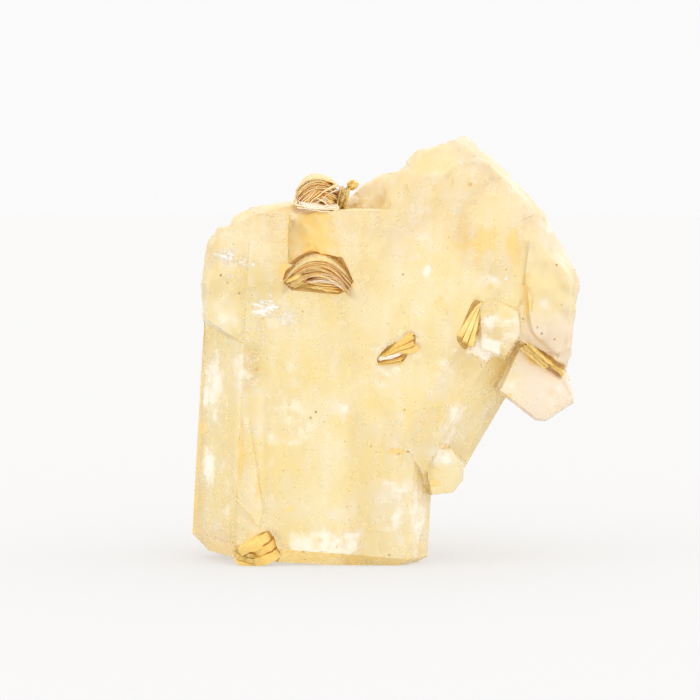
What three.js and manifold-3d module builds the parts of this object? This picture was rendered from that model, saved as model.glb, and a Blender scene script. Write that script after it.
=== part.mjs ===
// A heliodor specimen: two yellow beryl crystals grown into one another, with a broken crown, and the
// books and flakes of mica that sit in pockets of the crystal. Millimetres, +Z up. The front faces -Y.
// It stands at z = 0 on the worn end of its lower crystal and on a lump of mica under its front left edge.
import * as THREE from "three";
import { ConvexGeometry } from "three/addons/geometries/ConvexGeometry.js";
import { ImprovedNoise } from "three/addons/math/ImprovedNoise.js";
import { mergeVertices } from "three/addons/utils/BufferGeometryUtils.js";
import Module from "manifold-3d";

const wasm = await Module();
wasm.setup();

// Lower crystal: an equiangular six-sided prism that stands a little askew on its flat end, and leans
// to the right. The bevel round its end has a height at the left and right, and the end's share of the width.
const LOWER = {
  sides: { front: 13.7, frontRight: 3.1, frontLeft: 7.0 },
  depth: 14.2,
  length: 25,
  lean: 3.2,
  foot: [-6.1, 0, 0.1], // middle of the flat end
  bevel: { left: 1.3, right: 0.9, share: 0.86 },
};

// Inclined crystal: the same kind of prism, which leans so far to the right that its end hangs clear.
const INCLINED = {
  sides: { front: 12.4, frontRight: 6.2, frontLeft: 6.6 },
  depth: 14.5,
  length: 46,
  lean: 30,
  foot: [-8.7, 0.13, 0],
};

// Outlines in x and z, seen from the front, with the depths that each reaches from front to back.
const CROWN = {
  outline: [
    [-3.6, 27.7], [-1.6, 29.7], [2.9, 32.4], [6.1, 33.3], [7.3, 32.6], [10.3, 29.8], [12.2, 27.5],
    [13.5, 23.6], [12.4, 18.1], [10.2, 14.5], [6.5, 8.0], [6.3, 6.4], [5.4, 5.5], [3.7, 5.3], [0.8, 9.6],
    [-4.0, 18.1],
  ],
  depths: [-8.6, 8.8],
  inset: 0.9,
};
const SHOULDER = {
  outline: [
    [-14.1, 20.5], [-14.1, 23.9], [-13.8, 25.2], [-13.0, 26.6], [-11.2, 27.3], [-10.2, 27.8], [-8.4, 28.2],
    [1.2, 28.8], [2.0, 20.5], [0.8, 9.3], [-12.0, 17.5], [-14.3, 19.0],
  ],
  depths: [-6.9, 6.4],
  inset: 0.93,
};
const RIGHT_BLOCK = {
  outline: [
    [7.2, 20.2], [7.0, 24.5], [8.6, 28.9], [10.2, 29.5], [12.4, 27.3], [13.3, 25.9], [14.1, 24.3],
    [14.8, 23.1], [15.0, 21.7], [14.8, 19.7], [14.4, 17.6], [14.2, 15.1], [13.2, 15.3], [10.4, 16.9],
  ],
  depths: [-7.05, 5.4],
  inset: 0.88,
};
const RIGHT_FRONT = {
  outline: [
    [10.8, 25.6], [10.6, 22.0], [11.1, 17.8], [13.6, 15.9], [14.1, 18.2], [14.6, 20.3], [14.6, 22.2],
    [13.8, 24.4], [12.9, 25.9], [11.8, 26.3],
  ],
  depths: [-7.65, -1],
  inset: 0.9,
};
const TAB = {
  outline: [
    [8.6, 13.7], [10.4, 17.6], [12.2, 17.2], [14.3, 14.7], [14.8, 13.4], [14.8, 12.7], [12.5, 11.2],
    [11.7, 11.3],
  ],
  depths: [-6.4, 0.6],
  inset: 0.9,
};
const WINDOW = {
  outline: [[7.1, 20.5], [8.3, 21.0], [10.4, 20.1], [10.6, 18.1], [9.3, 16.1], [7.3, 16.9]],
  depths: [-7.75, -3],
  inset: 0.88,
};

// The small crystal at the lower end of the inclined one.
const NUB = {
  outline: [[2.6, 9.3], [5.1, 9.3], [6.2, 8.0], [6.1, 6.6], [5.3, 5.6], [3.5, 5.4]],
  depths: [-6.7, 1.5],
  inset: 0.9,
};

// A thin crystal blade that runs down the lower crystal's front near its left edge.
const BLADE = {
  outline: [[-11.1, 11.9], [-10.6, 11.9], [-9.4, 3.8], [-9.8, 2.6], [-11.6, 5.0], [-11.7, 8.3]],
  depths: [-7.45, -4],
  inset: 0.85,
};

// Steps and hollows broken out of the front: each is a convex block given by its corners.
const LEDGE = [
  [-16, -9, 27.5], [1.0, -9, 27.9], [2.5, -9, 38], [-16, -9, 38],
  [-16, -4.4, 27.3], [-0.4, -4.4, 27.7], [0.6, -4.2, 38], [-16, -4.4, 38],
];
const RECESS = [
  [-7.7, -9, 23.4], [-7.6, -9, 28], [-3.0, -9, 28], [-3.4, -9, 22.6],
  [-7.6, -5.6, 23.8], [-7.5, -5.4, 28], [-3.2, -7.1, 28], [-3.6, -7.2, 23.2],
];
const NOTCH = [
  [-16, -9, 18.6], [-14.6, -9, 19.6], [-11.4, -9, 17.6], [-11.8, -9, 16.6],
  [-16, -5.2, 18.8], [-13.9, -6.2, 19.2], [-11.6, -6.9, 17.4], [-12.2, -6.8, 16.8],
];

const LEFT_STEP = [
  [-16, -9, 26.3], [-11.9, -9, 26.5], [-11.3, -9, 29], [-16, -9, 29],
  [-16, 9, 26.0], [-12.3, 9, 26.2], [-11.7, 9, 29], [-16, 9, 29],
];
const TOP_STEP = [
  [-2.6, -9, 29.8], [-0.2, -9, 30.8], [1.8, -9, 31.1], [2.6, -9, 32.6], [1.2, -9, 35], [-4, -9, 35],
  [-2.6, 9, 29.4], [-0.4, 9, 30.5], [1.4, 9, 30.8], [2.3, 9, 32.4], [1.0, 9, 35], [-4, 9, 35],
];

// Shell-shaped scars: a centre and a radius each, of which only the edge bites into the crystal.
const SCARS = [
  [-15.9, -9.9, 24.2, 4.3],
  [-12.2, 9.6, 25.5, 6.2],
  [-1.0, 10.8, 31.5, 7.6],
  [10.6, 10.2, 26.4, 6.0],
  [15.8, -8.9, 27.2, 4.6],
  [3.6, -10.2, 33.6, 4.4],
  [17.6, 1.6, 19.4, 3.6],
  [9.4, -6.6, 34.2, 3.2],
];

// The crystal is rough where it broke: fully so above one height, not at all below another, and over the
// overhang on the right. Its front stays smooth. Relief is how far the surface moves, grain how wide it
// waves; fine is the share of the waves that are only as wide as the fine grain.
const BREAK = { from: 17.5, full: 21.5, edge: 2.1, relief: 0.42, grain: 2.4, fineGrain: 1.04, fine: 0.5 };
const OVERHANG = { x: [9.5, 11], z: [12, 15] };
const SMOOTH_FRONT = { to: -7.1, gone: -6.2 };
const FACE_EDGE = 8; // longest edge on the smooth faces

// Leaves of mica: how much a rim wobbles, how much smaller the outer leaves of a book are than the widest,
// which lies at a share of its height, how much smaller every other leaf is, and how far leaves overlap.
const LEAF = { wobble: 0.35, taper: 0.35, widest: 0.4, step: 0.12, overlap: 1.06 };
const POCKET_GAP = 0.1; // between a piece of mica and the crystal round it

const BERYL = finish("#f4dc9c", 0.25);
const MICA = finish("#b98a3c", 0.45);

function finish(color, roughness) {
  return new THREE.MeshStandardMaterial({ color, roughness, metalness: 0, flatShading: true });
}

const toRadians = THREE.MathUtils.degToRad;
const corner = (values) => new THREE.Vector3(...values);

// Solids from three.js geometries, and back.

function solidFrom(geometry) {
  const bare = new THREE.BufferGeometry();
  bare.setAttribute("position", geometry.getAttribute("position"));
  bare.setIndex(geometry.index);
  const merged = mergeVertices(bare, 1e-4);
  return new wasm.Manifold(
    new wasm.Mesh({
      numProp: 3,
      vertProperties: new Float32Array(merged.getAttribute("position").array),
      triVerts: new Uint32Array(merged.index.array),
    }),
  );
}

function geometryFrom(solid) {
  const { numProp, numVert, vertProperties, triVerts } = solid.getMesh();
  const position = new Float32Array(numVert * 3);
  for (let i = 0; i < numVert; i++) {
    position.set(vertProperties.subarray(i * numProp, i * numProp + 3), i * 3);
  }
  const geometry = new THREE.BufferGeometry();
  geometry.setAttribute("position", new THREE.BufferAttribute(position, 3));
  geometry.setIndex(new THREE.BufferAttribute(new Uint32Array(triVerts), 1));
  return geometry;
}

const hull = (points) => solidFrom(new ConvexGeometry(points));
const joined = (solids) => solids.reduce((all, next) => all.add(next));
const without = (solid, cutters) => cutters.reduce((left, cutter) => left.subtract(cutter), solid);

// The six corners of an equiangular hexagon, anticlockwise from the left end of its front side, about the
// middle of its width and depth. Three sides and the depth fix the other three.
function hexagon({ front, frontRight, frontLeft }, depth) {
  const slope = depth / Math.sin(toRadians(60));
  const backLeft = slope - frontLeft;
  const lengths = [front, frontRight, slope - frontRight, front + frontRight - backLeft, backLeft];
  const width = front + (frontRight + frontLeft) / 2;
  const corners = [new THREE.Vector2((frontLeft - width) / 2, -depth / 2)];
  lengths.forEach((length, i) => {
    const turn = toRadians(60 * i);
    corners.push(new THREE.Vector2(Math.cos(turn), Math.sin(turn)).multiplyScalar(length).add(corners[i]));
  });
  return corners;
}

// Puts points of a crystal's own frame where the crystal stands.
function stand(points, { lean, foot }) {
  const turn = new THREE.Matrix4().makeRotationY(toRadians(lean));
  const place = new THREE.Matrix4().makeTranslation(...foot).multiply(turn);
  return points.map((point) => point.applyMatrix4(place));
}

function lowerCrystal() {
  const corners = hexagon(LOWER.sides, LOWER.depth);
  const { left, right, share } = LOWER.bevel;
  const half = corners[2].x;
  const bevelHeight = (x) => THREE.MathUtils.mapLinear(x, -half, half, left, right);
  const points = corners.flatMap(({ x, y }) => [
    new THREE.Vector3(x * share, y * share, 0),
    new THREE.Vector3(x, y, bevelHeight(x)),
    new THREE.Vector3(x, y, LOWER.length),
  ]);
  return hull(stand(points, LOWER));
}

function inclinedCrystal() {
  const corners = hexagon(INCLINED.sides, INCLINED.depth);
  const points = corners.flatMap(({ x, y }) => [
    new THREE.Vector3(x, y, 0),
    new THREE.Vector3(x, y, INCLINED.length),
  ]);
  return hull(stand(points, INCLINED));
}

// A block with the given outline, drawn in towards its middle at its front and back.
function slab({ outline, depths: [front, back], inset }) {
  const meanOf = (axis) => outline.reduce((sum, point) => sum + point[axis], 0) / outline.length;
  const middle = [meanOf(0), meanOf(1)];
  const shoulder = (back - front) / 6;
  const points = outline.flatMap(([x, z]) => {
    const inX = THREE.MathUtils.lerp(middle[0], x, inset);
    const inZ = THREE.MathUtils.lerp(middle[1], z, inset);
    return [
      new THREE.Vector3(inX, front, inZ),
      new THREE.Vector3(x, front + shoulder, z),
      new THREE.Vector3(x, back - shoulder, z),
      new THREE.Vector3(inX, back, inZ),
    ];
  });
  return hull(points);
}

function scar([x, y, z, radius]) {
  return solidFrom(new THREE.IcosahedronGeometry(radius, 2).translate(x, y, z));
}

function above(height) {
  return solidFrom(new THREE.BoxGeometry(60, 60, 60).translate(0, 0, 30 + height));
}

// How broken the surface is at a point, from 0 on the prism faces to 1 on the crown and the overhang.
function brokenShare(x, y, z) {
  const height = THREE.MathUtils.smoothstep(z, BREAK.from, BREAK.full);
  const offTheFront = THREE.MathUtils.smoothstep(y, SMOOTH_FRONT.to, SMOOTH_FRONT.gone);
  const outThere = THREE.MathUtils.smoothstep(x, ...OVERHANG.x);
  const overhang = outThere * THREE.MathUtils.smoothstep(z, ...OVERHANG.z);
  return Math.max(height, overhang) * offTheFront;
}

// Splits every edge that is longer than the limit where it lies, as often as it takes. Both triangles on an
// edge see the same middle, so the surface stays closed.
function refine(geometry, limitAt) {
  const points = geometry.getAttribute("position").array;
  const count = points.length / 3;
  const vertices = Array.from({ length: count }, (_, i) => [...points.subarray(3 * i, 3 * i + 3)]);
  let triangles = Array.from({ length: geometry.index.count / 3 }, (_, i) => [
    ...geometry.index.array.subarray(3 * i, 3 * i + 3),
  ]);
  let split = true;
  while (split) {
    split = false;
    const middles = new Map();
    const middleOf = (a, b) => {
      const key = a < b ? `${a} ${b}` : `${b} ${a}`;
      if (!middles.has(key)) {
        const [p, q] = [vertices[a], vertices[b]];
        const middle = p.map((value, axis) => (value + q[axis]) / 2);
        const long = Math.hypot(...p.map((value, axis) => value - q[axis])) > limitAt(...middle);
        middles.set(key, long ? vertices.push(middle) - 1 : -1);
      }
      return middles.get(key);
    };
    triangles = triangles.flatMap((triangle) => {
      const mids = triangle.map((a, i) => middleOf(a, triangle[(i + 1) % 3]));
      split ||= mids.some((mid) => mid >= 0);
      return splitTriangle(triangle, mids);
    });
  }
  const refined = new THREE.BufferGeometry();
  refined.setAttribute("position", new THREE.Float32BufferAttribute(vertices.flat(), 3));
  refined.setIndex(triangles.flat());
  return refined;
}

// The triangles that replace one triangle whose edges have the given middles: -1 is an edge that stays whole.
function splitTriangle([a, b, c], [ab, bc, ca]) {
  const count = [ab, bc, ca].filter((mid) => mid >= 0).length;
  if (count === 0) return [[a, b, c]];
  if (count === 3) return [[a, ab, ca], [ab, b, bc], [ca, bc, c], [ab, bc, ca]];
  if (count === 1) {
    if (ab >= 0) return [[a, ab, c], [ab, b, c]];
    return splitTriangle([b, c, a], [bc, ca, ab]);
  }
  if (ca < 0) return [[a, ab, c], [ab, b, bc], [ab, bc, c]];
  return splitTriangle([b, c, a], [bc, ca, ab]);
}

// Hackly relief: each vertex moves by smooth noise in three directions, most where the crystal is broken.
function roughen(geometry) {
  const noise = new ImprovedNoise();
  const position = geometry.getAttribute("position");
  for (let i = 0; i < position.count; i++) {
    const [x, y, z] = [position.getX(i), position.getY(i), position.getZ(i)];
    const relief = BREAK.relief * brokenShare(x, y, z);
    const swing = (offset) =>
      noise.noise(x / BREAK.grain + offset, y / BREAK.grain, z / BREAK.grain) +
      BREAK.fine * noise.noise(x / BREAK.fineGrain, y / BREAK.fineGrain + offset, z / BREAK.fineGrain);
    position.setXYZ(i, x + relief * swing(11.3), y + relief * swing(37.9), z + relief * swing(71.7));
  }
  return geometry;
}

function crystal(pockets) {
  const body = joined([
    lowerCrystal(),
    inclinedCrystal().intersect(slab(CROWN)),
    slab(SHOULDER),
    slab(RIGHT_BLOCK),
    slab(RIGHT_FRONT),
    slab(TAB),
    slab(NUB),
    slab(WINDOW),
    slab(BLADE),
  ]);
  const steps = [LEDGE, RECESS, NOTCH, LEFT_STEP, TOP_STEP].map((corners) => hull(corners.map(corner)));
  const cut = without(body, [...steps, ...SCARS.map(scar)]).intersect(above(0));
  const limitAt = (x, y, z) => THREE.MathUtils.lerp(FACE_EDGE, BREAK.edge, brokenShare(x, y, z));
  const rough = solidFrom(roughen(refine(geometryFrom(cut), limitAt)));
  return without(rough, pockets);
}

// Mica.

// One leaf of a book: a flat many-sided plate about its own middle, whose rim wobbles by noise.
function leaf({ size: [wide, deep], thick, sides = 7 }, seed) {
  const noise = new ImprovedNoise();
  const points = [];
  for (let i = 0; i < sides; i++) {
    const turn = (2 * Math.PI * i) / sides;
    const reach = 0.5 * (1 + LEAF.wobble * noise.noise(seed * 1.7 + 0.4, i * 0.83, 5.1));
    const rim = [Math.cos(turn) * wide * reach, Math.sin(turn) * deep * reach];
    points.push(new THREE.Vector3(...rim, -thick / 2), new THREE.Vector3(...rim, thick / 2));
  }
  return points;
}

// A book of leaves, stacked along its own z and then tilted: lean is to the right, pitch tips its back up.
// Each leaf lies a little further along than the one under it, so that the rims make ledges.
function book({ middle, size, thick, leaves, lean = 0, pitch = 0, drift = [0.12, 0.1], seed }) {
  const turn = new THREE.Euler(toRadians(pitch), toRadians(lean), 0, "YXZ");
  const place = new THREE.Matrix4().makeRotationFromEuler(turn).setPosition(...middle);
  const pitchOfLeaves = thick / leaves;
  return Array.from({ length: leaves }, (_, i) => {
    const rise = (i - (leaves - 1) / 2) * pitchOfLeaves;
    const shrink = 1 - LEAF.taper * Math.abs(i / leaves - LEAF.widest) - LEAF.step * (i % 2);
    const shape = { size: size.map((value) => value * shrink), thick: pitchOfLeaves * LEAF.overlap };
    return leaf(shape, seed + i).map((point) =>
      point.add(corner([drift[0] * i, drift[1] * (i % 3), rise])).applyMatrix4(place),
    );
  });
}

// The books that make up each piece of mica.
const MICA_PIECES = {
  mica_crown_book: [
    { middle: [-5.8, -4.2, 29.3], size: [3.3, 4.2], thick: 1.7, leaves: 6, lean: -38, pitch: 12, seed: 3 },
    { middle: [-5.3, -4.0, 29.5], size: [2.5, 3.6], thick: 1.4, leaves: 5, lean: -20, pitch: -8, seed: 21 },
    { middle: [-5.9, -4.9, 28.1], size: [3.4, 3.4], thick: 0.7, leaves: 3, lean: -4, pitch: 6, seed: 33 },
  ],
  mica_crown_stub: [
    { middle: [-3.0, -3.9, 29.1], size: [1.5, 2.4], thick: 1.9, leaves: 5, lean: -12, pitch: 8, seed: 47 },
    { middle: [-3.2, -4.4, 28.2], size: [1.5, 2.0], thick: 0.7, leaves: 2, lean: 9, pitch: 0, seed: 52 },
  ],
  mica_arch_book: [
    { middle: [-6.9, -6.6, 22.9], size: [2.5, 3.6], thick: 1.2, leaves: 5, lean: -34, pitch: 10, seed: 61 },
    { middle: [-5.3, -6.6, 23.3], size: [3.2, 3.8], thick: 1.3, leaves: 5, lean: -3, pitch: 12, seed: 72 },
    { middle: [-4.1, -6.5, 22.5], size: [2.6, 3.6], thick: 1.2, leaves: 5, lean: 32, pitch: 10, seed: 83 },
  ],
  mica_centre_flakes: [
    { middle: [1.0, -6.9, 17.2], size: [2.8, 1.6], thick: 0.55, leaves: 3, lean: -26, pitch: 24, seed: 91 },
    { middle: [0.4, -6.9, 16.4], size: [2.4, 1.6], thick: 0.5, leaves: 3, lean: -8, pitch: 20, seed: 97 },
  ],
  mica_seam_plate: [
    { middle: [11.9, -5.9, 16.7], size: [2.7, 3.0], thick: 0.8, leaves: 4, lean: 38, pitch: 10, seed: 104 },
    { middle: [12.9, -5.8, 15.9], size: [2.8, 2.2], thick: 0.4, leaves: 2, lean: 42, pitch: 8, seed: 109 },
  ],
  mica_window_wedge: [
    { middle: [6.7, -7.0, 19.2], size: [3.2, 1.5], thick: 0.8, leaves: 3, lean: -68, pitch: 0, seed: 117 },
    { middle: [6.3, -7.0, 17.9], size: [1.8, 1.4], thick: 0.8, leaves: 3, lean: -52, pitch: 0, seed: 121 },
  ],
  mica_foot: [
    { middle: [-10.5, -6.3, 0.5], size: [3.3, 3.0], thick: 1.4, leaves: 4, lean: 4, pitch: 0, seed: 131 },
    { middle: [-9.6, -6.3, 1.4], size: [2.5, 2.6], thick: 1.7, leaves: 4, lean: -32, pitch: 6, seed: 141 },
    { middle: [-10.4, -6.0, 1.6], size: [2.4, 2.4], thick: 1.5, leaves: 4, lean: -6, pitch: 0, seed: 151 },
  ],
};

function micaPiece(books) {
  const leaves = books.flatMap(book);
  return joined(leaves.map(hull)).intersect(above(0));
}

// The room that a piece of mica takes in the crystal: the hull of its books, grown by the gap all round.
function pocketOf(books) {
  const reach = POCKET_GAP * Math.sqrt(3);
  const ahead = [[reach, 0, 0], [0, reach, 0], [0, 0, reach]].map(corner);
  const steps = ahead.flatMap((step) => [step, step.clone().negate()]);
  const points = books.flatMap((shape) => book(shape).flat());
  return hull(points.flatMap((point) => steps.map((step) => point.clone().add(step))));
}

function named(name, solid, material) {
  const mesh = new THREE.Mesh(geometryFrom(solid), material.clone());
  mesh.name = name;
  return mesh;
}

const specimen = new THREE.Group();
const pieces = Object.entries(MICA_PIECES);
specimen.add(named("heliodor_crystal", crystal(pieces.map(([, books]) => pocketOf(books))), BERYL));
pieces.forEach(([name, books]) => specimen.add(named(name, micaPiece(books), MICA)));

// The origin is under the middle of the specimen, on the ground.
const bounds = new THREE.Box3().setFromObject(specimen);
const middle = bounds.getCenter(new THREE.Vector3());
specimen.position.set(-middle.x, -middle.y, -bounds.min.z);

export default specimen;
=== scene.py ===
"""A heliodor specimen on a white table: two yellow beryl crystals grown into one another, and the mica in them.

Shapes are worked out in millimetres, in the frame of the solids, and put into meshes in metres.
"""
import math

import bpy
import numpy as np
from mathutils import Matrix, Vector


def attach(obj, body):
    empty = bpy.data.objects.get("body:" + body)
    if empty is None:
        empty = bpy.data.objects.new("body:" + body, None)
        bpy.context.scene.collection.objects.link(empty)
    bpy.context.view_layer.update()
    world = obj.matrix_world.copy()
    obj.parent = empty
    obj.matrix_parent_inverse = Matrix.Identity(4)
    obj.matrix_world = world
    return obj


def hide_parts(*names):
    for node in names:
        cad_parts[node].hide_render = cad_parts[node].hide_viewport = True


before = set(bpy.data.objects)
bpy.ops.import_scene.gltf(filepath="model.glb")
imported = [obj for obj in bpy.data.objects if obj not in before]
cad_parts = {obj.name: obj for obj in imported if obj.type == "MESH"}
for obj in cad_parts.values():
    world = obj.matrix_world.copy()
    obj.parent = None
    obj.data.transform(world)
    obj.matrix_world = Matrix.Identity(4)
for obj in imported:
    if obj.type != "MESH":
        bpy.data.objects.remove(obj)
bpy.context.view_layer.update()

MM = 0.001

# The view: a long lens, a little above the specimen.
FRAME_WIDTH = 56.0
CAMERA_DISTANCE = 250.0
CAMERA_RISE = 3.0
AIM = (-2.78, 0.35, 16.54)
TABLE_HALF = 3.0  # metres

LIGHT_PATHS = 28  # reflections inside the crystal that are followed
ROOM_LIGHT, BACKDROP = 1.1, 0.96  # strength of the white room, and of the same room as the camera sees it
SUNS = (  # name, direction that the light comes from, strength, width in degrees and tint
    ("key", (0.5, 0.45, 0.9), 0.7, 100, (1.0, 0.99, 0.97)),
    ("fill", (-0.5, -0.9, 0.6), 0.8, 110, (1.0, 1.0, 1.0)),
    ("side", (0.9, -0.5, 0.12), 0.7, 120, (1.0, 1.0, 1.0)),
)

# The crystal's surface, in millimetres.
CRYSTAL_EDGE = 0.46  # longest edge of the fine surface
LOWER_LEAN, INCLINED_LEAN = math.radians(3.2), math.radians(30)
BREAK_FROM, BREAK_FULL = 17.0, 21.5  # heights where the prism faces end and the broken crown is all broken
FRONT_PLANE = -6.77
CROWN_ROUNDS = 5  # passes of smoothing over the facets of the broken crown
EVEN_ROUNDS = 8  # passes that even out the triangles on flat faces, within their planes
FLAT_SHARE = 0.99999  # how straight a vertex's triangles must lie to count as flat
SHARP_ANGLE, MICA_SHARP_ANGLE = 32, 50  # degrees above which an edge is shaded sharp
RELAX_STEP = 0.6  # share of the way to its neighbours' mean that a vertex moves in one pass

# Relief: the size of each pattern, and its height.
FLAKE_SIZE, FLAKE_DEPTH, FLAKE_STEP = 1.7, 0.26, 0.2
HACKLE_SIZE, HACKLE_HEIGHT = 0.9, 0.14
LINE_SPACING, LINE_HEIGHT = 0.9, 0.012
WAVE_SIZE, WAVE_HEIGHT = 3.2, 0.03
LEAN_CHANGES = 12.0  # height above which the lines on the faces follow the inclined crystal

BLADE_X = -10.6  # where the thin blade runs down the front
LEAF_STEPS = 13  # grid points along each side of a leaf of mica


# Arrays and noise.

def hashed(cells, seed):
    """One number from 0 to 1 for each whole-number cell: its three indices are mixed as 32-bit integers."""
    mixed = cells.astype(np.int64)
    value = (mixed[..., 0] * 374761393 + mixed[..., 1] * 668265263 + mixed[..., 2] * 2147483647 + seed * 974634777)
    value &= 0xFFFFFFFF
    value = ((value ^ (value >> 13)) * 1274126177) & 0xFFFFFFFF
    value = ((value ^ (value >> 16)) * 2246822519) & 0xFFFFFFFF
    return (value ^ (value >> 15)) / 2.0 ** 32


def smooth_noise(points, cell, seed):
    """Value noise from -1 to 1: the eight corner numbers of a point's cell, blended by the smooth curve 3t2 - 2t3."""
    scaled = points / cell
    base = np.floor(scaled)
    part = scaled - base
    weight = part * part * (3 - 2 * part)
    total = np.zeros(len(points))
    for corner in np.ndindex(2, 2, 2):
        corner = np.array(corner)
        share = np.prod(np.where(corner == 1, weight, 1 - weight), axis=1)
        total += share * hashed(base + corner, seed)
    return 2 * total - 1


def fractal(points, cell, seed, octaves=3):
    """Sum of value noises, each at half the size and half the height of the one before."""
    layers = [0.5 ** i * smooth_noise(points, cell * 0.5 ** i, seed + i) for i in range(octaves)]
    return sum(layers) / sum(0.5 ** i for i in range(octaves))


def shell_steps(points, cell, seed):
    """Broken crystal's flakes: distance to the nearest of one random point per cell, and that point's own number."""
    base = np.floor(points / cell)
    nearest = np.full(len(points), np.inf)
    owner = np.zeros(len(points))
    for shift in np.ndindex(3, 3, 3):
        cells = base + np.array(shift) - 1
        spot = np.stack([hashed(cells, seed + i) for i in range(3)], axis=1)
        distance = np.linalg.norm((cells + spot) * cell - points, axis=1)
        closer = distance < nearest
        nearest = np.where(closer, distance, nearest)
        owner = np.where(closer, hashed(cells, seed + 7), owner)
    return nearest / cell, owner


def ramp(value, low, high):
    """0 below low, 1 above high, and the smooth curve 3t2 - 2t3 between them; low may be the larger of the two."""
    part = np.clip((value - low) / (high - low), 0, 1)
    return part * part * (3 - 2 * part)


# Meshes.

def welded(mesh):
    """A mesh's vertices in millimetres and its triangles, with vertices that lie on one another made one."""
    points = np.empty(len(mesh.vertices) * 3)
    mesh.vertices.foreach_get("co", points)
    mesh.calc_loop_triangles()
    corners = np.empty(len(mesh.loop_triangles) * 3, dtype=np.int32)
    mesh.loop_triangles.foreach_get("vertices", corners)
    rounded, owner = np.unique(np.round(points.reshape(-1, 3) / MM, 4), axis=0, return_inverse=True)
    triangles = owner.reshape(-1)[corners].reshape(-1, 3)
    a, b, c = triangles.T
    return rounded, triangles[(a != b) & (b != c) & (c != a)]


def turned(rows, steps):
    """Each row of three moved round by its own number of steps."""
    order = (np.arange(3)[None, :] + steps[:, None]) % 3
    return np.take_along_axis(rows, order, axis=1)


def refined(points, triangles, longest):
    """Halves every edge longer than the limit until none is left. A triangle becomes two, three or four by how many
    of its edges are halved, and neighbours share the new middle point, so the surface stays closed."""
    while True:
        edges = np.stack([triangles, np.roll(triangles, -1, axis=1)], axis=2).reshape(-1, 2)
        edges.sort(axis=1)
        unique, owner = np.unique(edges, axis=0, return_inverse=True)
        long = np.linalg.norm(points[unique[:, 0]] - points[unique[:, 1]], axis=1) > longest
        if not long.any():
            return points, triangles
        middle = np.full(len(unique), -1)
        middle[long] = len(points) + np.arange(long.sum())
        points = np.vstack([points, points[unique[long]].mean(axis=1)])
        mids = middle[owner.reshape(-1)].reshape(-1, 3)
        halved = mids >= 0
        count = halved.sum(axis=1)
        parts = [triangles[count == 0]]
        for number in (1, 2, 3):
            rows = count == number
            steps = np.argmax(halved[rows], axis=1) if number == 1 else (np.argmin(halved[rows], axis=1) + 1) % 3
            a, b, c = turned(triangles[rows], steps).T
            ab, bc, ca = turned(mids[rows], steps).T
            if number == 1:
                cut = [(a, ab, c), (ab, b, c)]
            elif number == 2:
                cut = [(a, ab, c), (ab, b, bc), (ab, bc, c)]
            else:
                cut = [(a, ab, ca), (ab, b, bc), (ca, bc, c), (ab, bc, ca)]
            parts += [np.stack(corners, axis=1) for corners in cut]
        triangles = np.vstack(parts)


def outward(points, triangles):
    """Each vertex's normal: the sum of its triangles' cross products, made one long."""
    a, b, c = (points[triangles[:, i]] for i in range(3))
    across = np.cross(b - a, c - a)
    normal = np.stack([
        sum(np.bincount(triangles[:, i], across[:, axis], len(points)) for i in range(3)) for axis in range(3)
    ], axis=1)
    return normal / np.maximum(np.linalg.norm(normal, axis=1, keepdims=True), 1e-12)


def flatness(points, triangles):
    """1 at a vertex whose triangles all lie in one plane, else 0: the length of the sum of their cross products is
    then the same as the sum of the lengths."""
    a, b, c = (points[triangles[:, i]] for i in range(3))
    across = np.cross(b - a, c - a)
    rows, size = triangles.T.reshape(-1), np.tile(np.linalg.norm(across, axis=1), 3)
    total = np.stack([np.bincount(rows, np.tile(across[:, i], 3), len(points)) for i in range(3)], axis=1)
    together = np.bincount(rows, size, len(points))
    return (np.linalg.norm(total, axis=1) > FLAT_SHARE * together).astype(float)


def relaxed(points, triangles, share, rounds):
    """Moves each vertex towards the mean of its neighbours, by its own share, as many times as asked."""
    edges = np.vstack([triangles[:, [0, 1]], triangles[:, [1, 2]], triangles[:, [2, 0]]])
    degree = np.bincount(edges[:, 0], minlength=len(points))[:, None]
    for _ in range(rounds):
        mean = np.stack([
            np.bincount(edges[:, 0], points[edges[:, 1], axis], len(points)) for axis in range(3)
        ], axis=1) / np.maximum(degree, 1)
        points = points + RELAX_STEP * share[:, None] * (mean - points)
    return points


def piece(name, points, faces, node, material, attributes=()):
    """Makes a mesh object in metres from millimetre points, which stands for its CAD node and rides with it."""
    mesh = bpy.data.meshes.new(name)
    mesh.from_pydata((points * MM).tolist(), [], faces.tolist())
    for label, values in attributes:
        mesh.attributes.new(label, "FLOAT", "POINT").data.foreach_set("value", values.astype(np.float32))
    mesh.polygons.foreach_set("use_smooth", np.ones(len(mesh.polygons), dtype=bool))
    mesh.materials.append(material)
    mesh.update()
    made = bpy.data.objects.new(name, mesh)
    bpy.context.scene.collection.objects.link(made)
    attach(made, "root")
    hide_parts(node)
    return made


# The crystal.

def broken_share(points):
    """0 on the prism faces, 1 on the broken crown and the overhanging right side, and between the two on the parts of
    the front that broke: the upper left, the right block and the top."""
    x, y, z = points.T
    off_front = ramp(y, FRONT_PLANE + 0.1, FRONT_PLANE + 0.9)
    height = ramp(z, BREAK_FROM, BREAK_FULL)
    overhang = ramp(x, 9.5, 11.0) * ramp(z, 12, 15)
    upper_left = 0.45 * ramp(x, -11.3, -12.8) * ramp(z, 18.5, 20.5)
    right_block = 0.95 * ramp(x, 10.0, 11.2) * ramp(z, 15.5, 17)
    top = 0.45 * ramp(z, 26.5, 30)
    front = np.max([off_front, upper_left, right_block, top], axis=0)
    return np.maximum(height, overhang) * front


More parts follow.
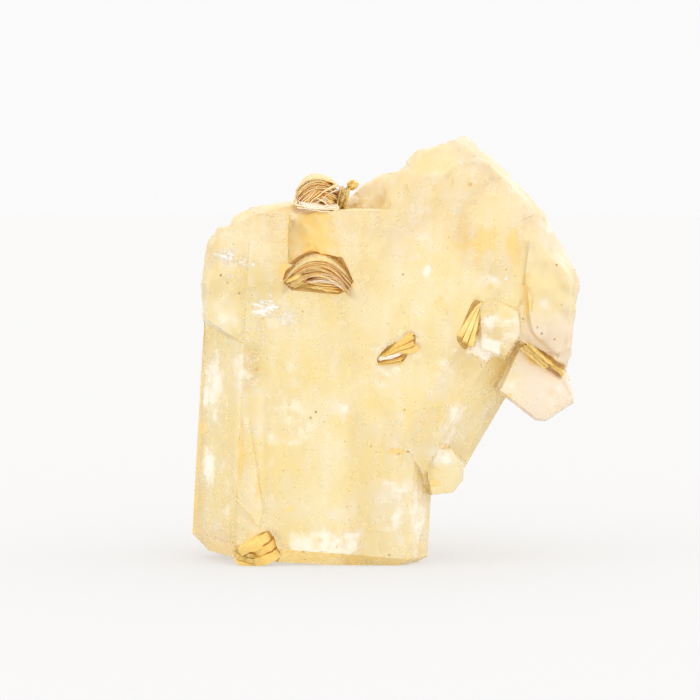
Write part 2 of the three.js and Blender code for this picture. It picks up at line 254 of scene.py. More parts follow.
def crystal_relief(points, broken):
    """How far each vertex of the crystal moves along its normal. On broken ground: shell-shaped flakes and hackles.
    On the prism faces: shallow waves, drawn out along the crystal."""
    flake, owner = shell_steps(points + 0.5 * fractal(points, 2.0, 11)[:, None], FLAKE_SIZE, 21)
    hackles = HACKLE_HEIGHT * fractal(points, HACKLE_SIZE, 31)
    rough = FLAKE_DEPTH * (flake - 0.45) + FLAKE_STEP * (owner - 0.5) + hackles
    lean = np.where(points[:, 2] < LEAN_CHANGES, LOWER_LEAN, INCLINED_LEAN)
    across = points[:, 0] * np.cos(lean) - points[:, 2] * np.sin(lean)
    drawn_out = np.stack([across, 0.3 * points[:, 1], 0.06 * points[:, 2]], axis=1)
    faces = LINE_HEIGHT * smooth_noise(drawn_out, LINE_SPACING, 41) + WAVE_HEIGHT * fractal(points, WAVE_SIZE, 61)
    return broken * rough + (1 - broken) * faces


# Markings. Each row is a share from 0 to 1, the middle of a soft ellipsoid and its reach, all in millimetres.

VEILS_AND_HIGHLIGHT = [
    (0.95, (-13.5, -2.0, 13.8), (1.5, 6.0, 3.6)),
    (0.95, (-13.9, -2.0, 7.6), (1.1, 6.0, 2.5)),
    (0.7, (-11.2, -6.9, 15.3), (1.6, 3.0, 3.0)),
    (0.45, (-8.3, -6.9, 11.6), (2.6, 2.0, 3.8)),
    (0.6, (-3.7, -6.9, 12.2), (1.2, 1.0, 0.9)),
    (0.5, (-10.3, -7.0, 4.6), (1.0, 1.5, 3.2)),
    (0.8, (-3.7, -6.9, 4.1), (2.1, 2.0, 1.1)),
    (0.7, (0.8, -6.7, 4.8), (2.6, 2.0, 3.6)),
    (0.8, (2.6, -5.5, 4.3), (1.3, 3.0, 4.4)),
    (0.75, (5.6, -6.7, 12.0), (1.0, 3.0, 2.0)),
    (0.85, (4.9, -6.7, 10.3), (1.3, 3.0, 1.9)),
    (0.95, (4.2, -6.7, 8.5), (1.8, 3.0, 1.5)),
    (0.5, (9.4, -7.4, 18.3), (2.4, 1.4, 2.8)),
    (0.8, (7.9, -7.4, 18.7), (0.9, 1.2, 1.5)),
    # Painted highlight: the solid white patch at the lower left of the window facet, where light glints off it.
    (2.0, (7.7, -7.0, 16.9), (1.4, 1.8, 1.2)),
    (0.8, (-12.2, -5.0, 19.6), (2.9, 3.0, 2.4)),
    (0.6, (-8.9, -6.9, 19.8), (2.8, 1.5, 1.8)),
    (0.9, (1.0, -6.9, 11.85), (0.6, 1.0, 0.45)),
    (0.65, (9.0, -6.7, 14.6), (2.2, 3.0, 2.2)),
    (0.55, (13.0, -6.0, 13.2), (2.6, 3.0, 2.0)),
    (0.6, (7.9, -6.9, 22.0), (1.6, 2.0, 1.1)),
    (1.4, (3.15, -6.9, 23.15), (0.5, 1.0, 0.75)),
    (0.7, (12.3, -7.3, 20.6), (0.5, 1.2, 0.9)),
    (0.85, (12.6, -5.0, 26.3), (1.5, 4.0, 2.2)),
    (0.8, (2.6, -3.0, 31.9), (0.5, 4.0, 0.5)),
]
GLINTS = [
    (1.0, (-12.3, -6.1, 24.2), (1.8, 3.0, 1.0)),
    (0.8, (-10.7, -6.7, 23.7), (1.9, 2.0, 1.0)),
    (0.6, (-11.9, -6.6, 22.6), (2.0, 2.0, 1.2)),
    (1.0, (-9.3, -6.9, 20.2), (1.7, 2.0, 1.2)),
    (1.0, (-7.6, -6.9, 19.5), (1.8, 2.0, 1.1)),
    (0.4, (-10.4, -6.9, 18.6), (2.0, 2.0, 1.2)),
        (1.6, (9.45, -7.1, 22.35), (0.25, 1.0, 0.55)),
    (1.0, (0.8, -6.9, 11.3), (0.5, 1.0, 0.4)),
    (0.9, (-10.6, -7.1, 5.2), (0.5, 1.0, 0.4)),
    (0.6, (2.8, -5.9, 2.2), (0.5, 2.0, 0.9)),
]
STAINS = [
    (1.3, (-7.45, -6.5, 25.6), (0.6, 1.8, 2.8)),
    (1.4, (-7.8, -6.9, 23.0), (0.8, 1.6, 1.3)),
    (1.2, (-5.2, -6.2, 25.2), (3.0, 1.8, 3.0)),
    (1.3, (-5.5, -6.1, 27.1), (2.0, 2.4, 1.4)),
    (0.9, (-3.0, -4.9, 28.7), (1.5, 2.5, 1.3)),
    (1.0, (-4.3, -6.9, 21.5), (1.3, 1.0, 0.8)),
    (0.85, (10.0, -7.1, 24.6), (1.1, 2.0, 2.8)),
    (0.8, (7.6, -6.9, 25.5), (2.2, 2.0, 2.2)),
    (0.8, (8.6, -6.5, 28.6), (0.9, 1.5, 0.8)),
    (0.6, (2.9, -4.5, 31.6), (1.7, 3.0, 1.5)),
    (0.8, (5.5, -6.9, 22.1), (0.8, 1.5, 0.7)),
    (0.8, (8.15, -6.9, 21.8), (0.6, 1.5, 0.7)),
    (0.6, (13.8, -6.5, 21.4), (0.8, 2.0, 1.3)),
    (1.1, (4.1, -6.2, 6.5), (0.9, 2.0, 0.7)),
    (1.0, (-11.3, -7.1, 8.6), (0.6, 1.5, 4.6)),
    (0.7, (-10.0, -7.1, 6.4), (0.5, 1.5, 2.2)),
    (0.6, (-10.2, -7.1, 3.8), (1.0, 1.5, 1.2)),
    (1.5, (-14.5, -1.0, 10.4), (0.8, 5.0, 0.8)),
    (1.3, (9.6, -5.0, 13.3), (0.5, 3.0, 0.4)),
    (0.6, (-0.4, -6.9, 15.0), (1.2, 1.0, 0.7)),
    (1.1, (0.8, -6.9, 9.0), (1.1, 1.0, 0.4)),
    (0.9, (-7.6, -6.9, 4.5), (0.8, 1.0, 0.7)),
    (0.5, (6.5, -6.9, 25.0), (3.4, 3.0, 3.4)),
    (1.1, (-5.1, -5.7, 23.3), (3.0, 1.6, 1.6)),
    (0.9, (6.6, -6.3, 19.0), (0.9, 1.0, 2.2)),
    (0.9, (0.8, -6.4, 16.8), (1.9, 0.9, 1.3)),
    (0.9, (12.2, -5.8, 16.4), (2.0, 1.4, 1.6)),
    (0.85, (11.0, -7.0, 20.6), (0.6, 1.5, 3.6)),
    (0.45, (4.2, -6.9, 20.8), (2.0, 2.5, 3.2)),
]
SPOTS = [
    (1.0, (11.3, -7.2, 22.3), (0.6, 1.5, 1.0)),
    (1.0, (12.2, -7.3, 18.6), (0.7, 1.5, 1.3)),
    (1.0, (13.3, -6.4, 15.4), (0.5, 1.5, 0.5)),
    (1.0, (12.1, -6.2, 15.1), (0.4, 1.5, 0.4)),
    (1.0, (-5.6, -6.8, 11.9), (0.9, 1.0, 0.9)),
    (1.0, (0.9, -6.8, 9.2), (1.3, 1.0, 0.5)),
    (1.0, (7.2, -6.8, 11.7), (0.6, 1.0, 0.6)),
    (1.0, (-12.2, -6.3, 22.6), (1.0, 2.0, 1.0)),
]


def marked(points, table, seed, core=0.3):
    """The largest share that any row of a table has at each point: full inside the core's share of the reach, none
    outside the reach, with rims drawn in and out by upright noise."""
    ragged = 0.45 * fractal(points * [1, 1, 0.4], 1.0, seed)
    rows = [
        share * ramp(np.linalg.norm((points - np.array(middle)) / np.array(reach), axis=1) + ragged, 1.0, core)
        for share, middle, reach in table
    ]
    return np.max(rows, axis=0)


def crystal_marks(points, normal):
    """The crystal's markings as shares: white veils, one of which is a painted highlight at the lower left of the
    window, crisp glints, amber stains, dark spots, the blush on the crown's outer rim and over the overhang, and
    haze. A white band lies over the foot of the front. The bevel under it, where the surface faces down, is painted
    amber with the
    stains: a painted yellow glow for the light that the crystal passes onto the floor beneath. The lower crystal's
    left edge is amber too. Haze makes the crystal milky at the crown, over the lower front and beside the blade."""
    x, y, z = points.T
    warped = points + 0.25 * np.stack([fractal(points, 1.6, seed) for seed in (71, 72, 73)], axis=1)
    drawn_out = points * [1, 1, 0.5]
    band = ramp(y, -5.4, -6.2) * ramp(x, -8.4, -6.6) * ramp(x, 0.4, -3.4) * ramp(z, 3.3, 2.3)
    # Painted yellow glow: faces at the foot that point downwards are tinted amber, standing in for the yellow light
    # that the crystal passes onto the floor under it.
    under = ramp(-normal[:, 2], 0.2, 0.4) * ramp(z, 2.2, 1.8)
    left_edge = ramp(x - 0.045 * z, -14.8, -15.3) * ramp(z, 19, 18)
    grown = 0.5 * ramp(fractal(drawn_out, 2.6, 87, 4), 0.0, 0.5)
    veil_and_highlight = np.max([marked(warped, VEILS_AND_HIGHLIGHT, 85), grown, 0.95 * band * (1 - under)], axis=0)
    stain_and_painted_glow = np.max([
        marked(warped, STAINS, 91, 0.1), 0.3 * ramp(fractal(points, 2.6, 93, 4), 0.1, 0.6), 0.75 * under,
        0.9 * left_edge,
    ], axis=0)
    rim = ramp(0.75 * x + 0.66 * z, 23.4, 28.2) * ramp(fractal(points, 2.4, 95), -0.8, 0.3)
    blush = np.maximum(rim, ramp(x, 9.2, 11.2) * ramp(z, 21, 18))
    beside_blade = ramp(np.abs(x - BLADE_X), 1.5, 0.8) * ramp(z, 16, 13)
    haze = np.max([
        0.1 + 0.3 * ramp(z, 13, 24), 0.4 * ramp(x, -9, -3) * ramp(z, 19, 14), 0.5 * beside_blade,
    ], axis=0)
    return {
        "veil_and_highlight": veil_and_highlight, "glint": marked(warped, GLINTS, 97, 0.2), "stain_and_painted_glow": stain_and_painted_glow, "spotted": marked(points, SPOTS, 99),
        "blush": blush, "haze": haze,
    }


def make_crystal(material):
    points, triangles = welded(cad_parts["heliodor_crystal"].data)
    points, triangles = refined(points, triangles, CRYSTAL_EDGE)
    points = relaxed(points, triangles, flatness(points, triangles), EVEN_ROUNDS)
    broken = broken_share(points)
    points = relaxed(points, triangles, broken, CROWN_ROUNDS)
    normal = outward(points, triangles)
    calm = ramp(points[:, 2], 0.02, 0.6)
    relief = crystal_relief(points, broken) * calm
    points = points + relief[:, None] * normal
    points[:, 2] = np.maximum(points[:, 2], 0)
    marks = crystal_marks(points, outward(points, triangles)) | {"broken": broken}
    made = piece("crystal_surface", points, triangles, "heliodor_crystal", material, marks.items())
    made.data.set_sharp_from_angle(angle=math.radians(SHARP_ANGLE))
    return made


# Mica.

def leaf_grid(steps, square):
    """A grid from -1 to 1 drawn onto a plate that is round, square or between: round is x = u sqrt(1 - v2/2)."""
    u, v = np.meshgrid(np.linspace(-1, 1, steps), np.linspace(-1, 1, steps), indexing="ij")
    return [square * a + (1 - square) * a * np.sqrt(1 - b * b / 2) for a, b in ((u, v), (v, u))]


def leaf_faces(steps):
    """Quads of one closed leaf: the upper grid, the lower grid turned over, and a strip round the rim."""
    index = np.arange(steps * steps).reshape(steps, steps)
    top = np.stack([index[:-1, :-1], index[1:, :-1], index[1:, 1:], index[:-1, 1:]], axis=-1).reshape(-1, 4)
    rim = np.concatenate([index[:-1, 0], index[-1, :-1], index[:0:-1, -1], index[0, :0:-1]])
    after = np.roll(rim, -1)
    under = steps * steps
    strip = np.stack([rim, rim + under, after + under, after], axis=1)
    return np.vstack([top, top[:, ::-1] + under, strip])


def mica_book(book, steps=LEAF_STEPS):
    """The leaves of one book, as whole arrays. A leaf is a thin plate whose rim wobbles and whose height bends as
    arch times x squared, with ripples by noise. Where a book fans out, its leaves spread apart towards +x; where it
    is round, they are smaller towards its top and bottom. Each is slid a little against the one below."""
    size_x, size_y = book["size"]
    count, thick, seed = book["leaves"], book["thick"], book["seed"]
    slide, square = book.get("slide", 0.12), book.get("square", 0.0)
    x, y = (grid.reshape(1, -1) for grid in leaf_grid(steps, square))
    number = np.arange(count)[:, None]
    chance = np.stack([hashed(np.stack([number, number * 0 + seed, number * 0 + i], axis=-1), 3) for i in range(6)])
    angle = np.arctan2(y, x)
    still = 0 * angle + 0 * number
    knots = np.stack([2.1 * np.cos(angle) + 0.3 * number, 2.1 * np.sin(angle) + still, seed + still], axis=-1)
    wobble = 1 + 0.22 * fractal(knots.reshape(-1, 3), 1.0, seed).reshape(count, -1)
    level = (2 * number - count + 1) / count
    reach = (0.86 + 0.2 * chance[0]) * wobble * np.sqrt(1 - book.get("round", 0) * level * level)
    lx = x * reach * size_x / 2 + (chance[1] - 0.5) * slide * size_x
    ly = y * reach * size_y / 2 + (chance[2] - 0.5) * slide * size_y
    pitch = thick / count
    spread = 1 + book.get("fan", 0) * x
    ripple_at = np.stack([lx, ly, still + number * 0.2], axis=-1).reshape(-1, 3)
    ripple = book.get("ripple", 0.6) * pitch * fractal(ripple_at, 0.8, seed + 5, 2).reshape(count, -1)
    rise = (number - (count - 1) / 2) * pitch * spread + ripple - book.get("arch", 0) * lx * lx
    half = pitch * (0.5 + 0.2 * chance[4]) * np.maximum(spread, 0.2)
    thin = half * (1 - 0.3 * (x * x + y * y).clip(0, 1))
    upper, lower = (np.stack([lx, ly, rise + side * thin], axis=-1) for side in (1, -1))
    points = np.concatenate([upper, lower], axis=1)
    lean, tip = (math.radians(book.get(key, 0)) for key in ("lean", "tip"))
    lean_turn = np.array([[math.cos(lean), 0, math.sin(lean)], [0, 1, 0], [-math.sin(lean), 0, math.cos(lean)]])
    tip_turn = np.array([[1, 0, 0], [0, math.cos(tip), -math.sin(tip)], [0, math.sin(tip), math.cos(tip)]])
    points = points.reshape(-1, 3) @ (lean_turn @ tip_turn).T + np.array(book["middle"])
    faces = leaf_faces(steps)[None] + (np.arange(count) * 2 * steps * steps)[:, None, None]
    shade = book["shade"] + book.get("contrast", 0.5) * (np.repeat(chance[5].reshape(-1), 2 * steps * steps) - 0.5)
    return points, faces.reshape(-1, 4), shade


def make_mica(node, books, material):
    """One piece of mica: all its books' leaves in one mesh, kept above the ground."""
    parts = [mica_book(book) for book in books]
    starts = np.cumsum([0] + [len(points) for points, _, _ in parts])
    points = np.vstack([points for points, _, _ in parts])
    faces = np.vstack([faces + start for (_, faces, _), start in zip(parts, starts)])
    shade = np.concatenate([shade for _, _, shade in parts])
    points[:, 2] = np.maximum(points[:, 2], 0.0)
    made = piece(node + "_leaves", points, faces, node, material, [("shade", shade)])
    made.data.set_sharp_from_angle(angle=math.radians(MICA_SHARP_ANGLE))
    return made


MICA_BOOKS = {
    "mica_crown_book": [
        {"middle": (-5.58, -4.13, 29.9), "size": (3.4, 3.5), "thick": 1.15, "leaves": 22, "lean": -12, "tip": 6,
         "arch": 0.36, "shade": 0.36, "contrast": 0.75, "seed": 4},
        {"middle": (-5.48, -4.33, 29.2), "size": (2.7, 3.2), "thick": 1.1, "leaves": 16, "lean": -38, "tip": 10,
         "arch": 0.14, "slide": 0.2, "ripple": 1.6, "shade": 0.6, "contrast": 0.8, "seed": 21},
        {"middle": (-4.68, -4.23, 28.9), "size": (1.7, 3.0), "thick": 0.8, "leaves": 11, "lean": 30, "tip": 6,
         "arch": 0.2, "slide": 0.25, "ripple": 1.6, "shade": 0.4, "contrast": 0.8, "seed": 27},
        # Pale leaf under the crown: partly the leaf's own pale tint, partly a painted highlight for the bright glint
        # on it.
        {"middle": (-5.38, -4.73, 28.15), "size": (3.2, 3.2), "thick": 0.45, "leaves": 5, "lean": 5, "tip": 8,
         "slide": 0.2, "ripple": 1.6, "shade": 0.9, "contrast": 0.4, "seed": 33},
    ],
    "mica_crown_stub": [
        {"middle": (-3.38, -3.93, 28.7), "size": (1.8, 2.2), "thick": 0.8, "leaves": 9, "lean": -76, "tip": 4,
         "shade": -0.1, "contrast": 0.3, "seed": 47},
        {"middle": (-2.6, -3.73, 29.75), "size": (0.9, 1.4), "thick": 0.7, "leaves": 7, "lean": -34, "tip": 8,
         "arch": 0.3, "round": 0.7, "shade": 0.0, "contrast": 0.3, "seed": 52},
    ],
    "mica_arch_book": [
        {"middle": (-5.1, -6.2, 23.62), "size": (5.2, 3.4), "thick": 1.35, "leaves": 32, "lean": 4, "tip": 10,
         "arch": 0.27, "ripple": 1.0, "shade": 0.28, "contrast": 0.6, "seed": 61},
        {"middle": (-4.38, -6.13, 22.75), "size": (3.2, 3.2), "thick": 0.7, "leaves": 12, "lean": 14, "tip": 10,
         "arch": 0.22, "slide": 0.16, "shade": 0.75, "contrast": 0.6, "seed": 72},
        {"middle": (-4.78, -5.93, 22.15), "size": (2.6, 3.0), "thick": 0.6, "leaves": 7, "lean": 6, "tip": 10,
         "arch": 0.12, "slide": 0.16, "shade": 0.25, "contrast": 0.3, "seed": 75},
        {"middle": (-6.88, -6.03, 22.55), "size": (1.9, 2.9), "thick": 0.9, "leaves": 10, "lean": -34, "tip": 10,
         "shade": 0.3, "contrast": 0.3, "seed": 83},
    ],
    "mica_centre_flakes": [
        {"middle": (1.0, -6.4, 17.15), "size": (2.9, 1.4), "thick": 0.9, "leaves": 3, "lean": -24, "tip": 16,
         "fan": 0.8, "square": 0.4, "ripple": 0.2, "shade": 0.05, "contrast": 0.15, "seed": 91},
        # Painted highlight: these palest, thin leaves stand for the white highlights in the notch under the upper
        # flake.
        {"middle": (0.32, -6.45, 16.6), "size": (1.9, 1.4), "thick": 0.2, "leaves": 2, "lean": -16, "tip": 16,
         "square": 0.5, "shade": 1.1, "contrast": 0.2, "seed": 94},
        {"middle": (0.37, -6.4, 16.1), "size": (2.1, 1.4), "thick": 0.35, "leaves": 5, "lean": -8, "tip": 16,
         "fan": 0.6, "square": 0.4, "shade": 0.0, "contrast": 0.3, "seed": 97},
    ],
    "mica_seam_plate": [
        {"middle": (11.8, -5.63, 16.65), "size": (2.6, 2.6), "thick": 0.8, "leaves": 9, "lean": 40, "tip": 10,
         "square": 0.8, "slide": 0.04, "shade": 0.08, "contrast": 0.6, "seed": 104},
        {"middle": (13.1, -5.53, 15.75), "size": (2.5, 1.9), "thick": 0.24, "leaves": 3, "lean": 41, "tip": 8,
         "square": 0.6, "slide": 0.04, "shade": 0.1, "contrast": 0.3, "seed": 109},
    ],
    "mica_window_wedge": [
        {"middle": (6.72, -6.5, 19.0), "size": (3.7, 1.3), "thick": 0.95, "leaves": 3, "lean": 112,
         "fan": 0.7, "square": 0.4, "ripple": 0.2, "shade": 0.25, "contrast": 0.15, "seed": 117},
    ],
    "mica_foot": [
        {"middle": (-9.8, -5.9, 1.3), "size": (3.1, 2.6), "thick": 2.3, "leaves": 3, "lean": -30, "tip": 12,
         "round": 0.6, "ripple": 0.35, "shade": 0.1, "contrast": 0.15, "seed": 131},
        {"middle": (-10.8, -5.73, 0.75), "size": (2.5, 2.4), "thick": 1.2, "leaves": 3, "lean": 16, "tip": 14,
         "round": 0.6, "ripple": 0.4, "shade": -0.05, "contrast": 0.3, "seed": 141},
    ],
}


# Materials.

class Nodes:
    """Short calls for building a material's nodes."""

    def __init__(self, name):
        self.material = bpy.data.materials.new(name)
        self.material.use_nodes = True
        self.tree = self.material.node_tree
        self.shader = self.tree.nodes["Principled BSDF"]
        self.output = self.tree.nodes["Material Output"]
        self.place = self.add("ShaderNodeTexCoord").outputs["Object"]

    def add(self, kind, **settings):
        node = self.tree.nodes.new(kind)
        for key, value in settings.items():
            setattr(node, key, value)
        return node

    def link(self, source, target):
        self.tree.links.new(source, target)

    def feed(self, socket, value):
        if isinstance(value, bpy.types.NodeSocket):
            self.link(value, socket)
        else:
            socket.default_value = value

    def attribute(self, name):
        return self.add("ShaderNodeAttribute", attribute_name=name).outputs["Fac"]

    def stretched(self, scale, turn=(0, 0, 0)):
        """Object coordinates for a pattern that is turned, and stretched along its own axes."""
        mapping = self.add("ShaderNodeMapping", vector_type="TEXTURE")
        self.link(self.place, mapping.inputs["Vector"])
        mapping.inputs["Scale"].default_value = scale
        mapping.inputs["Rotation"].default_value = turn
        return mapping.outputs["Vector"]

    def noise(self, size, detail=4, vector=None, roughness=0.55):
        """Noise whose features are size millimetres across."""
        texture = self.add("ShaderNodeTexNoise")
        self.link(vector or self.place, texture.inputs["Vector"])
        texture.inputs["Scale"].default_value = 1 / (size * MM)
        texture.inputs["Detail"].default_value = detail
        texture.inputs["Roughness"].default_value = roughness
        return texture.outputs["Fac"]

    def specks(self, spacing, radius, share):
        """1 inside round specks: cells of the given spacing, of which only some hold a speck."""
        texture = self.add("ShaderNodeTexVoronoi")
        self.link(self.place, texture.inputs["Vector"])
        texture.inputs["Scale"].default_value = 1 / (spacing * MM)
        inside = self.curve(texture.outputs["Distance"], radius / spacing, 0.55 * radius / spacing)
        chosen = self.math("LESS_THAN", self.channel(texture.outputs["Color"]), share)
        return self.math("MULTIPLY", inside, chosen)

    def channel(self, colour):
        split = self.add("ShaderNodeSeparateColor")
        self.link(colour, split.inputs["Color"])
        return split.outputs["Red"]

    def math(self, operation, a, b=0.0):
        node = self.add("ShaderNodeMath", operation=operation)
        self.feed(node.inputs[0], a)
        self.feed(node.inputs[1], b)
        return node.outputs["Value"]

    def curve(self, value, low, high, start=0.0, end=1.0):
        node = self.add("ShaderNodeMapRange", interpolation_type="SMOOTHSTEP")
        self.feed(node.inputs["Value"], value)
        for key, number in (("From Min", low), ("From Max", high), ("To Min", start), ("To Max", end)):
            node.inputs[key].default_value = number
        return node.outputs["Result"]

    def mix(self, share, a, b):
        node = self.add("ShaderNodeMix", data_type="RGBA")
        self.feed(node.inputs["Factor"], share)
        self.feed(node.inputs["A"], a)
        self.feed(node.inputs["B"], b)
        return node.outputs["Result"]

    def bump(self, height, distance, normal=None):
        node = self.add("ShaderNodeBump")
        self.link(height, node.inputs["Height"])
        node.inputs["Strength"].default_value = 1.0
        node.inputs["Distance"].default_value = distance * MM
        if normal:
            self.link(normal, node.inputs["Normal"])
        return node.outputs["Normal"]


def colour(red, green, blue):
    return (red, green, blue, 1.0)


# Specks in the crystal: the spacing of their cells and their largest radius in millimetres, the share of cells that
# hold one, and their colour.
SPECKS = (
    (0.8, 0.08, 0.22, colour(0.6, 0.32, 0.05)),
    (1.3, 0.12, 0.25, colour(0.5, 0.25, 0.04)),
    (2.1, 0.2, 0.3, colour(0.85, 0.55, 0.15)),
)

# The crystal's colours: its body, deep and pale, in the crown and in pale bands, and its markings.
DEEP, PALE = colour(0.965, 0.82, 0.4), colour(0.97, 0.87, 0.56)
CROWN, BAND = colour(0.96, 0.78, 0.42), colour(1.0, 0.96, 0.82)
BLUSH, VEIL_AND_HIGHLIGHT = colour(1.0, 0.87, 0.75), colour(1.0, 0.97, 0.9)
AMBER, GLINT, SPOT = colour(0.97, 0.68, 0.2), colour(1.0, 1.0, 0.98), colour(0.36, 0.19, 0.03)
CROWN_FROM, CROWN_FULL = 20.0, 27.0  # heights in millimetres where the crown's colour starts and is full

CLEAREST, CLOUDIEST = 0.62, 0.25  # share of the light that goes through the surface
BERYL_IOR, MICA_IOR = 1.57, 1.58
ABSORPTION_COLOUR, ABSORPTION_DENSITY = colour(1.0, 0.86, 0.35), 30.0

# Mica from its darkest leaves to its palest, and the shades where one colour gives way to the next.
LEAF_COLOURS = colour(0.4, 0.25, 0.06), colour(0.88, 0.57, 0.15), colour(0.98, 0.73, 0.27), colour(1.0, 0.89, 0.68)
LEAF_SHADES = (-0.2, 0.2), (0.2, 0.6), (0.6, 1.0)


def heliodor():
    """Part clear, part milky pale yellow beryl: veils turn it white and cloudy, and one of them is a painted
    highlight on the window; stains turn it amber and cloudy, and so does the painted yellow glow on the downward
    faces at the foot;
    the crown's rim is pale, and haze only makes it cloudy."""
    n = Nodes("heliodor")
    veil_and_highlight, glint, stain_and_painted_glow, blush = (n.attribute(name) for name in ("veil_and_highlight", "glint", "stain_and_painted_glow", "blush"))
    bands = n.noise(1.1, 4, n.stretched((1, 1, 5), (0, LOWER_LEAN, 0)))
    body = n.mix(n.curve(n.noise(3.4, 4), 0.38, 0.66), DEEP, PALE)
    height = n.add("ShaderNodeSeparateXYZ")
    n.link(n.place, height.inputs["Vector"])
    body = n.mix(n.curve(height.outputs["Z"], CROWN_FROM * MM, CROWN_FULL * MM, 0, 0.65), body, CROWN)
    body = n.mix(n.curve(bands, 0.45, 0.7, 0, 0.4), body, BAND)
    body = n.mix(n.math("MULTIPLY", blush, 0.7), body, BLUSH)
    # The veil mark also carries the painted highlight on the window facet.
    crisp = n.curve(n.math("ADD", veil_and_highlight, n.math("MULTIPLY", n.noise(0.9, 6), 2.4)), 1.25, 2.5)
    body = n.mix(n.math("MULTIPLY", crisp, 0.85), body, VEIL_AND_HIGHLIGHT)
    # Amber: real stains, and the painted yellow glow on the downward faces at the foot.
    amber = n.curve(n.math("ADD", stain_and_painted_glow, n.math("MULTIPLY", n.noise(0.8, 6), 1.5)), 0.95, 1.8)
    body = n.mix(n.math("MULTIPLY", amber, 0.9), body, AMBER)
    crackle = n.noise(0.3, 6, n.stretched((1.7, 1, 0.7), (0, 0.45, 0)), 0.75)
    white = n.curve(n.math("ADD", glint, n.math("MULTIPLY", crackle, 5.0)), 3.05, 3.6)
    white = n.math("MULTIPLY", white, n.curve(glint, 0.05, 0.25))
    body = n.mix(n.math("MULTIPLY", white, 0.95), body, GLINT)
    for spacing, radius, share, shade in SPECKS:
        body = n.mix(n.math("MULTIPLY", n.specks(spacing, radius, share), 0.85), body, shade)
    spots = n.math("MULTIPLY", n.specks(0.5, 0.13, 0.6), n.curve(n.attribute("spotted"), 0.2, 0.5))
    body = n.mix(n.math("MULTIPLY", spots, 0.95), body, SPOT)
    n.link(body, n.shader.inputs["Base Color"])
    cloudy = n.math("MAXIMUM", n.math("MULTIPLY", crisp, 0.8), n.math("MAXIMUM", white, n.attribute("haze")))
    cloudy = n.math("MAXIMUM", cloudy, n.math("MULTIPLY", amber, 0.7))
    clouds = n.math("ADD", n.math("MULTIPLY", n.noise(4.5, 3), 0.5), cloudy)
    clear = n.curve(clouds, 0.15, 1.15, CLEAREST, CLOUDIEST)
    n.link(clear, n.shader.inputs["Transmission Weight"])
    rough = n.curve(n.noise(1.6, 3), 0.35, 0.7, 0.22, 0.36)
    n.link(n.math("ADD", rough, n.math("MULTIPLY", n.attribute("broken"), 0.1)), n.shader.inputs["Roughness"])
    n.shader.inputs["IOR"].default_value = BERYL_IOR
    fine = n.bump(n.noise(1.2, 3), 0.004)
    flaky = n.math("MULTIPLY", n.attribute("broken"), n.noise(0.5, 4, n.stretched((1, 1, 2.8))))
    n.link(n.bump(white, 0.02, n.bump(flaky, 0.015, fine)), n.shader.inputs["Normal"])
    volume = n.add("ShaderNodeVolumeAbsorption")
    volume.inputs["Color"].default_value = ABSORPTION_COLOUR
    volume.inputs["Density"].default_value = ABSORPTION_DENSITY
    n.link(volume.outputs["Volume"], n.output.inputs["Volume"])
    return n.material


def mica():
    """Golden mica: each leaf has its own shade, from dark amber to pinkish tan, and is pearly with fine lines on its
    rims. The palest leaves, in the centre flakes and under the crown, also serve as painted highlights."""
    n = Nodes("mica")
    fine = n.math("MULTIPLY", n.math("SUBTRACT", n.noise(0.22, 4, None, 0.7), 0.5), 0.9)
    leaf = n.math("ADD", n.math("ADD", n.attribute("shade"), n.math("MULTIPLY", n.noise(0.6, 4), 0.35)), fine)
    body = LEAF_COLOURS[0]
    for (low, high), paler in zip(LEAF_SHADES, LEAF_COLOURS[1:]):
        body = n.mix(n.curve(leaf, low, high), body, paler)
    n.link(body, n.shader.inputs["Base Color"])
    n.link(n.curve(n.noise(0.35, 3), 0.3, 0.7, 0.2, 0.45), n.shader.inputs["Roughness"])
    n.shader.inputs["Subsurface Weight"].default_value = 0.3
    n.shader.inputs["Subsurface Radius"].default_value = (1.0, 0.6, 0.25)
    n.shader.inputs["Subsurface Scale"].default_value = 0.8 * MM
    n.shader.inputs["IOR"].default_value = MICA_IOR
    n.link(n.bump(n.noise(0.15, 3), 0.008), n.shader.inputs["Normal"])
    return n.material


def table():
    n = Nodes("table")
    n.shader.inputs["Base Color"].default_value = colour(0.3, 0.296, 0.295)
    n.shader.inputs["Emission Color"].default_value = colour(1.0, 0.995, 0.99)
    n.shader.inputs["Emission Strength"].default_value = 0.513
    n.link(n.curve(n.noise(6.0, 3), 0.3, 0.7, 0.85, 0.95), n.shader.inputs["Roughness"])
    n.shader.inputs["Specular IOR Level"].default_value = 0.0
    return n.material


# The stage.

def make_table():
    mesh = bpy.data.meshes.new("table")
    corners = [(x * TABLE_HALF, y * TABLE_HALF, 0) for x, y in ((-1, -1), (1, -1), (1, 1), (-1, 1))]
    mesh.from_pydata(corners, [], [(0, 1, 2, 3)])
    mesh.materials.append(table())
    made = bpy.data.objects.new("table", mesh)
    bpy.context.scene.collection.objects.link(made)


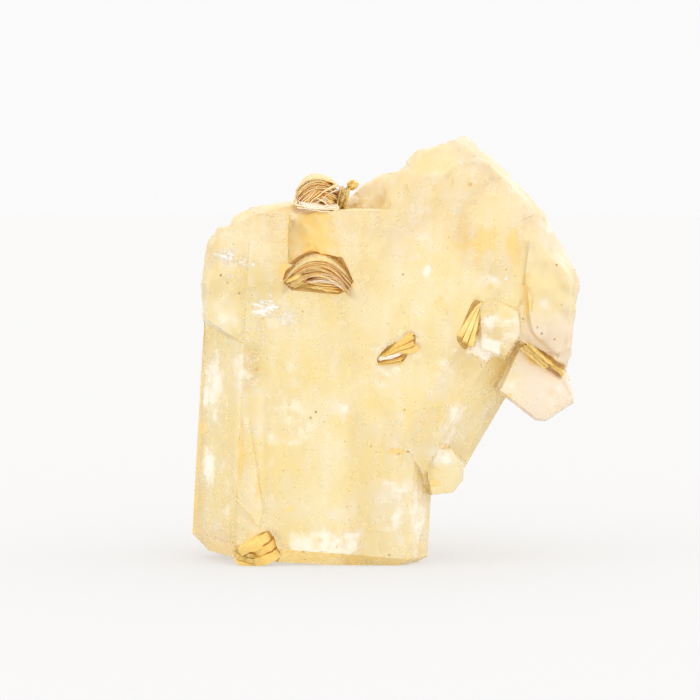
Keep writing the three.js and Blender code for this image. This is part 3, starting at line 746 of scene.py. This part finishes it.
def make_camera():
    data = bpy.data.cameras.new("camera")
    data.sensor_width = 36.0
    data.lens = data.sensor_width * CAMERA_DISTANCE / FRAME_WIDTH
    data.clip_start, data.clip_end = 0.01, 20.0
    made = bpy.data.objects.new("camera", data)
    rise = math.radians(CAMERA_RISE)
    back = Vector((0, -math.cos(rise), math.sin(rise)))
    made.location = (Vector(AIM) + CAMERA_DISTANCE * back) * MM
    made.rotation_mode = "QUATERNION"
    made.rotation_quaternion = (-back).to_track_quat("-Z", "Y")
    bpy.context.scene.collection.objects.link(made)
    bpy.context.scene.camera = made


def make_sun(name, direction, strength, spread, tint):
    """A distant soft lamp that shines from the given direction."""
    data = bpy.data.lights.new(name, "SUN")
    data.energy, data.angle, data.color = strength, math.radians(spread), tint
    made = bpy.data.objects.new(name, data)
    made.rotation_mode = "QUATERNION"
    made.rotation_quaternion = Vector(direction).to_track_quat("Z", "Y")
    bpy.context.scene.collection.objects.link(made)


def make_light():
    world = bpy.data.worlds.new("white_room")
    world.use_nodes = True
    tree = world.node_tree
    light = tree.nodes["Background"]
    light.inputs["Strength"].default_value = ROOM_LIGHT
    backdrop = tree.nodes.new("ShaderNodeBackground")
    backdrop.inputs["Strength"].default_value = BACKDROP
    for sky in (light, backdrop):
        sky.inputs["Color"].default_value = colour(1.0, 1.0, 1.0)
    seen = tree.nodes.new("ShaderNodeMixShader")
    tree.links.new(tree.nodes.new("ShaderNodeLightPath").outputs["Is Camera Ray"], seen.inputs["Fac"])
    tree.links.new(light.outputs["Background"], seen.inputs[1])
    tree.links.new(backdrop.outputs["Background"], seen.inputs[2])
    tree.links.new(seen.outputs["Shader"], tree.nodes["World Output"].inputs["Surface"])
    bpy.context.scene.world = world
    for sun in SUNS:
        make_sun(*sun)


def let_light_through():
    """Light is followed through as many reflections inside the crystal as it needs to leave it."""
    cycles = bpy.context.scene.cycles
    cycles.max_bounces = cycles.glossy_bounces = cycles.transmission_bounces = LIGHT_PATHS
    cycles.diffuse_bounces = LIGHT_PATHS // 2
    cycles.blur_glossy = 4.0


bpy.context.scene.view_settings.view_transform = "Standard"
let_light_through()
make_camera()
make_light()
make_table()
make_crystal(heliodor())
mica_material = mica()
for node_name, node_books in MICA_BOOKS.items():
    make_mica(node_name, node_books, mica_material)
